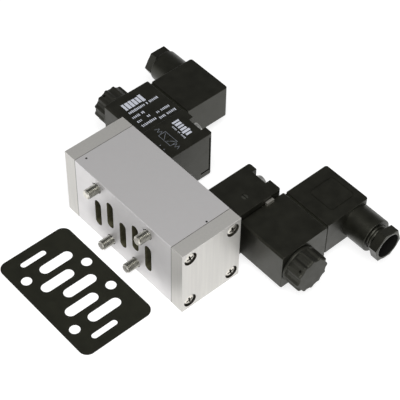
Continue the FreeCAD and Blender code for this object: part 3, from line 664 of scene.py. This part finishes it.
def turning_tree():
    """Wraps a grid round the axis. A section's points hold place along it, reach and share."""
    tree, given = new_tree("turned_part", [
        ("Steps Round", "Int", 48), ("Starts", "Float", 1.0), ("Turns Per Metre", "Float", 0.0),
        ("Depth", "Float", 0.0), ("Land", "Float", 0.0), ("Valley", "Float", 1.0),
        ("Across Flats", "Float", 1.0), ("Flats", "Float", 6.0), ("Finish", "Material", None)])

    def step(operation, *values):
        return calc(tree, operation, *values)

    # The grid's X runs round the axis, and its Y runs through the points of the section.
    section = given["Geometry"]
    counted = node(tree, "GeometryNodeAttributeDomainSize", {"Geometry": section})
    rows = counted.outputs["Point Count"]
    around = step("ADD", given["Steps Round"], 1.0)
    grid = {"Size X": 1.0, "Size Y": 1.0, "Vertices X": around, "Vertices Y": rows}
    sheet = node(tree, "GeometryNodeMeshGrid", grid).outputs["Mesh"]
    position = node(tree, "GeometryNodeInputPosition").outputs[0]
    spot = node(tree, "ShaderNodeSeparateXYZ", {0: position}).outputs
    turn = step("ADD", spot["X"], 0.5)
    row = step("ROUND", step("MULTIPLY", step("ADD", spot["Y"], 0.5), step("SUBTRACT", rows, 1.0)))
    read = node(tree, "GeometryNodeSampleIndex",
                {"Geometry": section, "Value": position, "Index": row}, data_type="FLOAT_VECTOR")
    point = node(tree, "ShaderNodeSeparateXYZ", {0: read.outputs["Value"]}).outputs

    # The pattern: a wave round the axis, with a flat top and a flat valley.
    phase = step("ADD", step("MULTIPLY", turn, given["Starts"]),
                 step("MULTIPLY", point["X"], given["Turns Per Metre"]))
    wave = step("MULTIPLY", step("PINGPONG", phase, 0.5), 2.0)
    groove = between(tree, wave, given["Land"], given["Valley"], 0.0, 1.0)
    patterned = step("MAXIMUM", point["Z"], 0.0)
    lowered = step("MULTIPLY", step("MULTIPLY", groove, given["Depth"]), patterned)
    pressed = step("SUBTRACT", point["Y"], lowered)

    # The flats: the reach of a polygon's side at this angle.
    share = step("DIVIDE", 1.0, given["Flats"])
    off_middle = step("SUBTRACT", step("FLOORED_MODULO", turn, share), step("MULTIPLY", share, 0.5))
    flat = step("DIVIDE", step("MULTIPLY", given["Across Flats"], 0.5),
                step("COSINE", step("MULTIPLY", off_middle, 2 * pi)))
    trimmed = step("MAXIMUM", step("MULTIPLY", point["Z"], -1.0), 0.0)
    cut = step("SUBTRACT", step("MINIMUM", pressed, flat), pressed)
    reach = step("ADD", pressed, step("MULTIPLY", cut, trimmed))

    angle = step("MULTIPLY", turn, 2 * pi)
    place = node(tree, "ShaderNodeCombineXYZ", {
        0: point["X"], 1: step("MULTIPLY", reach, step("COSINE", angle)),
        2: step("MULTIPLY", reach, step("SINE", angle))}).outputs[0]
    shaped = node(tree, "GeometryNodeSetPosition", {"Geometry": sheet, "Position": place})

    # The grid's two ends meet at a seam, and a row without reach closes to one point.
    closed = node(tree, "GeometryNodeMergeByDistance",
                  {"Geometry": shaped.outputs[0], "Distance": SEAM_GAP})
    close_tree(tree, closed.outputs[0], given["Finish"])
    return tree


def input_names(tree):
    """The names of a tree's inputs."""
    return [item.name for item in tree.interface.items_tree if item.in_out == "INPUT"]


TURNING = turning_tree()
print("inputs of the turning tree:", input_names(TURNING))

# %% Build the tree that repeats a part
def repeating_tree():
    """Sets a copy of one part on every point, turned as told."""
    tree, given = new_tree("set_of_parts", [
        ("Part", "Object", None), ("Turn", "Rotation", None), ("Finish", "Material", None)])
    part = node(tree, "GeometryNodeObjectInfo", {"Object": given["Part"]}).outputs["Geometry"]
    copies = node(tree, "GeometryNodeInstanceOnPoints", {
        "Points": given["Geometry"], "Instance": part, "Rotation": given["Turn"]}).outputs[0]
    close_tree(tree, copies, given["Finish"])
    return tree


def grow(name, tree, points, finish, edges=(), **values):
    """Runs a tree on loose points or edges and keeps what it makes as a plain mesh."""
    mesh = bpy.data.meshes.new(name)
    mesh.from_pydata(points, edges, [])
    piece = into_scene(name, mesh)
    grown = piece.modifiers.new("grown", "NODES")
    grown.node_group = tree
    values["Finish"] = finish
    for item in tree.interface.items_tree:
        key = item.name.replace(" ", "_")
        if item.in_out == "INPUT" and key in values:
            grown[item.identifier] = values[key]
    made_plain(piece)
    return piece


def set_of(name, master, places, turn, part):
    """Copies of a master at several places, as one piece that stands for a CAD part."""
    piece = grow(name, REPEATING, places, finish_for(part), Part=master, Turn=turn)
    settle(piece, finish_for(part))
    stand_for(piece, part)
    print("copies in", name + ":", len(places))
    return piece


def from_mm(points):
    """Points in millimetres as points in metres."""
    return [tuple(value * MM for value in point) for point in points]


def section_from_mm(section):
    """A section in millimetres as points in metres; the third number is a share and stays."""
    return [(along * MM, reach * MM, share) for along, reach, share in section]


REPEATING = repeating_tree()
print("inputs of the repeating tree:", input_names(REPEATING))

# %% [markdown]
# ## Recesses in turned parts
# A screwdriver's recess is not round, so it can't be turned, and no more can a hole in a nut's
# side. Each is cut out of the turned part by a Boolean modifier, before the part is repeated.

# %% Helpers that cut a recess
CUTTER_ABOVE = 1


def add_prism(form, low, high):
    """A closed solid between two outlines with as many points each, in millimetres."""
    first, second = [[form.verts.new(point) for point in from_mm(ring)] for ring in (low, high)]
    form.faces.new(first)
    form.faces.new(second[::-1])
    count = len(first)
    for k in range(count):
        following = (k + 1) % count
        form.faces.new((first[k], second[k], second[following], first[following]))


def finished_form(name, form):
    """A bmesh as an object with outward faces."""
    bmesh.ops.recalc_face_normals(form, faces=form.faces)
    mesh = bpy.data.meshes.new(name)
    form.to_mesh(mesh)
    form.free()
    return into_scene(name, mesh)


def tapered(outline, depth, top, taper=1.0):
    """A cutter along X: an outline above the top, drawn in by a factor at its depth."""
    form = bmesh.new()
    add_prism(form, [(top - depth, y * taper, z * taper) for y, z in outline],
              [(top + CUTTER_ABOVE, y, z) for y, z in outline])
    return finished_form("recess_cutter", form)


def cut_out(piece, cutter):
    """Cuts a shape out of a piece and removes the cutter."""
    cutting = piece.modifiers.new("recess", "BOOLEAN")
    cutting.object = cutter
    made_plain(piece)
    bpy.data.objects.remove(cutter)


def cross(arm, width):
    """The outline of a cross recess."""
    half = width / 2
    return [(arm, -half), (arm, half), (half, half), (half, arm), (-half, arm), (-half, half),
            (-arm, half), (-arm, -half), (-half, -half), (-half, -arm), (half, -arm), (half, -half)]


print("corners of a cross recess:", len(cross(2.0, 1.0)))

# %% [markdown]
# ## Fluted coil nuts
# A coil nut is turned by hand on the end of the armature tube. Behind a plain ring it has
# twelve flutes for the fingers, which run out through its flat end, and four small holes for a
# pin. The nuts were stopped where they were tight, so the two stand at different angles.

# %% Turn the coil nuts
NUT_SECTION = [
    (6.9, 0, 0), (6.9, 4.7, 0), (0, 4.7, 0), (0, 9.5, 0), (0.15, 9.7, 0), (0.4, 9.8, 0),
    (1.2, 9.8, 0), (1.5, 9.7, 0), (1.65, 9.5, 0.3), (1.9, 9.65, 1), (2.3, 9.7, 1), (5.0, 9.7, 1),
    (8.6, 9.7, 1), (9.2, 9.6, 1), (9.55, 9.35, 1), (9.7, 8.95, 1), (9.7, 8.2, 0.3),
    (9.7, 4.5, 0), (9.7, 0, 0),
]
NUT_TURN = {"left": 17.4, "right": 2.4}
COIL_OUTER = 63.2
AXIS_Y = 50.3
PIN_ALONG = 7.8
PIN_RADIUS = 0.68
PIN_FROM, PIN_TO = 7.4, 10.2
PIN_TURNS = (45, 135, 225, 315)
PIN_STEPS = 12


def facing_out(side, angle):
    """The turn that points a part made along +X outward, after a turn in degrees about its axis."""
    return (radians(angle), 0 if SIDES[side] > 0 else pi, 0)


def pin_cutter():
    """Round cutters across the nut's axis, one for each turn."""
    form = bmesh.new()
    for turn in (radians(degrees) for degrees in PIN_TURNS):
        rings = []
        for reach in (PIN_FROM, PIN_TO):
            ring = []
            for angle in (2 * pi * k / PIN_STEPS for k in range(PIN_STEPS)):
                sideways = PIN_RADIUS * sin(angle)
                ring.append((PIN_ALONG + PIN_RADIUS * cos(angle),
                             reach * cos(turn) - sideways * sin(turn),
                             reach * sin(turn) + sideways * cos(turn)))
            rings.append(ring)
        add_prism(form, *rings)
    return finished_form("pin_cutter", form)


nut = grow("coil_nut_master", TURNING, section_from_mm(NUT_SECTION), KNOB, Steps_Round=288,
           Starts=12.0, Depth=0.85 * MM, Land=0.1, Valley=0.6)
cut_out(nut, pin_cutter())
for side in SIDES:
    set_of("coil_nut_fluted_" + side, nut, [pilot_point(side, COIL_OUTER, AXIS_Y, 0)],
           facing_out(side, NUT_TURN[side]), "coil_nut_" + side)
bpy.data.objects.remove(nut)

# %% [markdown]
# ## Gland nuts
# A gland nut presses a rubber seal round the cable. It is a hollow hexagon with a chamfered end
# and a screwed neck. No cable is clamped here, so each was left part of the way in, and the
# right one shows its thread in front of the barrel. Inside, the bore is matt and its colour is
# darkened as painted shade, and the end face is made paler as a painted highlight.

# %% Turn the gland nuts
ROWS_PER_PITCH = 8


def threaded(start, end, reach, pitch):
    """Rows close enough together to carry a thread."""
    count = round((end - start) / pitch * ROWS_PER_PITCH)
    return [(start + (end - start) * k / count, reach, 1) for k in range(count + 1)]


GLAND_PITCH = 1.5
GLAND_SECTION = [
    (0, 5.5, 0), (0, 5.75, 0), *threaded(0.35, 5.3, 6.15, GLAND_PITCH), (5.6, 5.75, 0),
    (5.7, 5.75, 0), (5.7, 7.2, 0), (5.9, 9.0, -1), (6.05, 9.0, -1), (10.1, 9.0, -1),
    (10.25, 9.0, -1), (10.5, 7.35, 0), (10.5, 6.55, 0), (10.4, 6.4, 0), (10.2, 6.3, 0),
    (3.0, 5.6, 0), (1.0, 5.5, 0), (0, 5.5, 0),
]
GLAND_START = {"left": 70.0, "right": 72.9}
GLAND_TURN = {"left": 0.0, "right": -12.0}
GLAND_NECK = 5.8
GLAND_BORE = 6.42
GLAND_END = 10.3
gland = grow("gland_nut_master", TURNING, section_from_mm(GLAND_SECTION), BLACK, Steps_Round=96,
             Turns_Per_Metre=1 / (GLAND_PITCH * MM), Depth=0.45 * MM, Across_Flats=15.0 * MM)


def beyond(distance):
    """A test for places farther out from the middle than a distance in millimetres."""
    return lambda centre: abs(centre.x) > distance * MM


def in_bore(start):
    """A test for the faces of a gland nut's bore that are farther out than its neck."""
    is_outside_neck = beyond(start + GLAND_NECK)
    return lambda centre: is_outside_neck(centre) and off_gland_axis(centre) < GLAND_BORE


for side in SIDES:
    start = GLAND_START[side]
    hexagon = set_of("gland_nut_hexagon_" + side, gland, [pilot_point(side, start, GLAND_Y, 0)],
                     facing_out(side, GLAND_TURN[side]), "gland_nut_" + side)
    # The bore takes painted shade.
    refinish(hexagon, MATT_BORE_SHADE, in_bore(start))
    # The end face takes a painted highlight.
    refinish(hexagon, PALE_HIGHLIGHT, beyond(start + GLAND_END))
bpy.data.objects.remove(gland)

# %% [markdown]
# ## Cover screws
# Four pan head screws with cross recesses hold each end cover, sunk in round bores. One is
# turned and cut, and the repeating tree sets a copy of it at each place, so all stay alike. The
# recesses are as dark as the bores, because little light gets out of them.

# %% Turn the cover screws and repeat them
COVER_SCREW_START = 26.0
COVER_SCREW_TOP = 15.15
COVER_SCREW_ANGLE = 14
COVER_SCREW_SECTION = [
    (0, 0, 0), (0, 1.5, 0), (0.5, 1.9, 0), (12.1, 1.9, 0), (12.1, 2.95, 0), (12.2, 3.1, 0),
    (12.4, 3.15, 0), (13.95, 3.15, 0), (14.35, 3.05, 0), (14.7, 2.8, 0), (14.95, 2.2, 0),
    (15.1, 1.2, 0), (COVER_SCREW_TOP, 0, 0),
]
COVER_SCREW_PLACES = [(y, z) for y in (4.75, 29.75) for z in (-14.8, 14.8)]
RECESS_ARM, RECESS_WIDTH, RECESS_DEPTH, RECESS_TAPER = 2.3, 1.15, 1.5, 0.55
DARK_FROM, DARK_TO, DARK_REACH = 0.25, 1.7, 2.35
screw = grow("cover_screw_master", TURNING, section_from_mm(COVER_SCREW_SECTION), ZINC,
             Steps_Round=40)
cut_out(screw, tapered(cross(RECESS_ARM, RECESS_WIDTH), RECESS_DEPTH, COVER_SCREW_TOP,
                       RECESS_TAPER))


def in_recess(centre):
    """A test for a cross recess: deeper than the head's top and near the screw's axis."""
    depth = COVER_SCREW_START + COVER_SCREW_TOP - abs(centre.x) / MM
    reach = min(((centre.y / MM - y) ** 2 + (centre.z / MM - z) ** 2) ** 0.5
                for y, z in COVER_SCREW_PLACES)
    return DARK_FROM < depth < DARK_TO and reach < DARK_REACH


for side, sign in SIDES.items():
    places = from_mm([(sign * COVER_SCREW_START, y, z) for y, z in COVER_SCREW_PLACES])
    pans = set_of("cover_screws_pan_" + side, screw, places, facing_out(side, COVER_SCREW_ANGLE),
                  "end_cover_screws_" + side)
    # The cross recesses take the bores' painted shade.
    refinish(pans, BORE_SHADE, in_recess)
bpy.data.objects.remove(screw)

# %% [markdown]
# ## Mounting screws
# Four M5 socket head screws go right through the body, and their threaded ends stand out of the
# port face. Each is one turned part: the socket is a row trimmed to six flats. The points take
# the brighter zinc finish, which is a painted highlight.

# %% Turn the mounting screws
BACKWARD = (0, 0, pi / 2)
THREAD_PITCH = 0.8
MOUNTING_SECTION = [
    (0, 0, 0), (0, 1.85, 0), *threaded(0.45, 8.0, 2.48, THREAD_PITCH), (8.4, 2.42, 0),
    (35.0, 2.42, 0), (35.0, 3.8, 0), (35.15, 3.93, 0), (39.3, 3.93, 0), (39.7, 3.8, 0),
    (40.0, 3.4, 0), (40.0, 2.6, 0), (39.8, 2.6, -1), (38.0, 2.6, -1), (38.0, 1.2, -1),
    (38.0, 0, 0),
]
STUD_Y = -6.5
STUD_PLACES = [(-18, STUD_Y, 14), (18, STUD_Y, 14), (-9, STUD_Y, -14), (9, STUD_Y, -14)]
POINT_HIGHLIGHT_LENGTH = 0.4
stud = grow("mounting_screw_master", TURNING, section_from_mm(MOUNTING_SECTION), STUD,
            Steps_Round=48, Turns_Per_Metre=1 / (THREAD_PITCH * MM), Depth=0.49 * MM, Land=0.05,
            Valley=0.9, Across_Flats=4.0 * MM)
studs = set_of("mounting_screws_threaded", stud, from_mm(STUD_PLACES), BACKWARD, "mounting_screws")
# The points take the brighter zinc as a painted highlight.
refinish(studs, ZINC, lambda centre: centre.y < (STUD_Y + POINT_HIGHLIGHT_LENGTH) * MM)
bpy.data.objects.remove(stud)

# %% [markdown]
# ## Pilot and plug screws
# Two socket screws in the notches hold each pilot, and one slotted screw holds each plug. They
# come from the same tree as the others. A slot has straight walls, so its cutter isn't drawn in.

# %% Turn the pilot screws and plug screws
PILOT_SCREW_SECTION = [
    (0, 0, 0), (0, 1.5, 0), (0.5, 1.88, 0), (36.9, 1.88, 0), (36.9, 3.2, 0), (37.05, 3.38, 0),
    (38.7, 3.38, 0), (39.1, 3.2, 0), (39.3, 2.8, 0), (39.3, 2.0, 0), (39.15, 2.0, -1),
    (37.9, 2.0, -1), (37.9, 1.0, -1), (37.9, 0, 0),
]
PLUG_SCREW_TOP = 32.3
PLUG_SCREW_SECTION = [
    (0, 0, 0), (0, 1.1, 0), (0.4, 1.38, 0), (30.3, 1.38, 0), (30.3, 2.65, 0), (30.4, 2.78, 0),
    (31.8, 2.78, 0), (32.2, 2.55, 0), (PLUG_SCREW_TOP, 2.2, 0), (PLUG_SCREW_TOP, 0, 0),
]
PILOT_SCREW_START, PILOT_SCREW_W = 26.5, 9.8
PLUG_SCREW_START, PLUG_SCREW_U = 63.0, 48.5
SLOT = [(2.9, -0.4), (2.9, 0.4), (-2.9, 0.4), (-2.9, -0.4)]
SLOT_DEPTH = 0.9
pilot_screw = grow("pilot_screw_master", TURNING, section_from_mm(PILOT_SCREW_SECTION), NICKEL,
                   Steps_Round=48, Across_Flats=3.0 * MM)
plug_screw = grow("plug_screw_master", TURNING, section_from_mm(PLUG_SCREW_SECTION), ZINC,
                  Steps_Round=40)
cut_out(plug_screw, tapered(SLOT, SLOT_DEPTH, PLUG_SCREW_TOP))
for side in SIDES:
    places = [pilot_point(side, PILOT_SCREW_U, PILOT_SCREW_START, w)
              for w in (-PILOT_SCREW_W, PILOT_SCREW_W)]
    set_of("pilot_screws_socket_" + side, pilot_screw, places, BACKWARD, "pilot_screws_" + side)
    place = pilot_point(side, PLUG_SCREW_U, PLUG_SCREW_START, 0)
    set_of("plug_screw_slotted_" + side, plug_screw, [place], BACKWARD, "plug_screw_" + side)
for master in (pilot_screw, plug_screw):
    bpy.data.objects.remove(master)

# %% [markdown]
# ## Printed lines
# The left pilot and coil have a rating plate printed on them in pale ink. Here it is left
# without words: each line of print is a row of short strokes. A row is one edge of a mesh. The
# tree makes it a curve, sets points along it, drops some as the gaps between words, and puts a
# thin bar of ink on each of the others.

# %% Build the tree for printed rows
SMALLEST_STROKE, LARGEST_STROKE = (0.72, 0.72, 1), (1.05, 1.05, 1)


def printing_tree():
    """Bars of ink along each row, with some left out and each a little uneven in size."""
    tree, given = new_tree("printed_rows", [
        ("Pitch", "Float", 0.001), ("Size Along X", "Float", 0.001),
        ("Size Along Y", "Float", 0.0005), ("Thickness", "Float", 0.00002),
        ("Gaps", "Float", 0.15), ("Seed", "Int", 1), ("Finish", "Material", None)])
    rows = node(tree, "GeometryNodeMeshToCurve", {"Mesh": given["Geometry"]}).outputs["Curve"]
    spots = node(tree, "GeometryNodeResampleCurve", {"Curve": rows, "Length": given["Pitch"]},
                 mode="LENGTH")
    chance = node(tree, "FunctionNodeRandomValue",
                  {"Probability": given["Gaps"], "Seed": given["Seed"]}, data_type="BOOLEAN")
    left_out = [socket for socket in chance.outputs if socket.type == "BOOLEAN"][0]
    size = node(tree, "ShaderNodeCombineXYZ", {
        0: given["Size Along X"], 1: given["Size Along Y"], 2: given["Thickness"]}).outputs[0]
    bar = node(tree, "GeometryNodeMeshCube", {"Size": size}).outputs["Mesh"]
    uneven = node(tree, "FunctionNodeRandomValue",
                  {"Min": SMALLEST_STROKE, "Max": LARGEST_STROKE, "Seed": given["Seed"]},
                  data_type="FLOAT_VECTOR")
    bars = node(tree, "GeometryNodeInstanceOnPoints", {
        "Points": spots.outputs[0], "Selection": calc(tree, "SUBTRACT", 1.0, left_out),
        "Instance": bar, "Scale": uneven.outputs[0]})
    close_tree(tree, bars.outputs[0], given["Finish"])
    return tree


PRINTING = printing_tree()
print("inputs of the printing tree:", input_names(PRINTING))

# %% Print the rows
COIL_TOP = 6.7
PILOT_TOP = 10.0
INK_THICKNESS = 0.03
INK_MIDDLE = 0.005
COIL_ROWS = [(-51.4, 46.4, 63.8), (-47.7, 45.6, 52.2), (-44.1, 45.8, 52.9), (-40.6, 45.8, 53.8),
             (-43.2, 57.0, 65.2), (-39.4, 55.8, 65.2)]


def keep_print(piece):
    """Print is part of the valve, so it hangs on the valve's body."""
    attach(piece, "valve")
    print("faces in", piece.name + ":", len(piece.data.polygons))


def printed(name, rows, top, size, pitch, gaps, seed):
    """Rows given by both ends, with strokes of a size in x and y, all in millimetres."""
    points = from_mm([(x, y, top + INK_MIDDLE) for row in rows for x, y in row])
    edges = [(2 * k, 2 * k + 1) for k in range(len(rows))]
    keep_print(grow(name, PRINTING, points, INK, edges, Pitch=pitch * MM,
                    Size_Along_X=size[0] * MM, Size_Along_Y=size[1] * MM,
                    Thickness=INK_THICKNESS * MM, Gaps=gaps, Seed=seed))


printed("coil_rows", [((x, start), (x, end)) for x, start, end in COIL_ROWS], COIL_TOP,
        size=(1.6, 0.6), pitch=0.9, gaps=0.14, seed=7)
printed("coil_heading", [((-55.9, 47.0), (-55.9, 57.6))], COIL_TOP,
        size=(5.0, 1.75), pitch=2.1, gaps=0.0, seed=2)
printed("pilot_heading", [((-30.0, 57.6), (-20.2, 57.4))], PILOT_TOP,
        size=(1.5, 4.4), pitch=1.75, gaps=0.0, seed=5)
printed("pilot_row", [((-28.2, 54.3), (-19.0, 54.0))], PILOT_TOP,
        size=(0.5, 0.9), pitch=0.8, gaps=0.2, seed=3)

# %% [markdown]
# ## The valve's symbol
# A drawing of the valve's two positions, with a spring at each end, is printed beside the rows.
# It is a handful of straight strokes, so each is a thin box between two points.

# %% Print the strokes
LINE_WIDTH = 0.2
DOT_WIDTH = 0.5
UNDER_INK, OVER_INK = 0.01, 0.02
SPRING_WAVES = 2
SPRING_HEIGHT = 2.4


def stroke(form, start, end, width, top):
    """A thin box of ink from one point to another, in millimetres."""
    run, rise = end[0] - start[0], end[1] - start[1]
    half = width / 2 / (run ** 2 + rise ** 2) ** 0.5
    across = (-rise * half, run * half)
    corners = [(x + k * across[0], y + k * across[1])
               for (x, y), k in ((start, 1), (start, -1), (end, -1), (end, 1))]
    add_prism(form, *[[(x, y, height) for x, y in corners]
                      for height in (top - UNDER_INK, top + OVER_INK)])


def rectangle(low, high):
    """The four sides of a rectangle."""
    corners = [(low[0], low[1]), (high[0], low[1]), (high[0], high[1]), (low[0], high[1])]
    return [(corners[k], corners[(k + 1) % 4], LINE_WIDTH) for k in range(4)]


def spring_sign(start, end, y):
    """A spring's zigzag from one x to another."""
    count = 2 * SPRING_WAVES
    points = [(start + (end - start) * k / count, y + (k % 2 - 0.5) * SPRING_HEIGHT)
              for k in range(count + 1)]
    return [(points[k], points[k + 1], LINE_WIDTH) for k in range(count)]


SYMBOL = [
    *rectangle((-28.2, 45.2), (-23.8, 49.6)), *rectangle((-23.8, 45.2), (-19.4, 49.6)),
    ((-27.5, 49.1), (-24.5, 45.7), LINE_WIDTH), ((-23.1, 45.7), (-20.1, 49.1), LINE_WIDTH),
    *spring_sign(-32.4, -28.2, 47.4), *spring_sign(-19.4, -15.6, 47.4),
    ((-23.1, 41.8), (-22.6, 41.8), DOT_WIDTH), ((-19.9, 41.5), (-19.4, 41.5), DOT_WIDTH),
]
symbol_form = bmesh.new()
for start, end, width in SYMBOL:
    stroke(symbol_form, start, end, width, PILOT_TOP)
symbol = finished_form("pilot_symbol", symbol_form)
symbol.data.materials.append(FADED_INK)
keep_print(symbol)
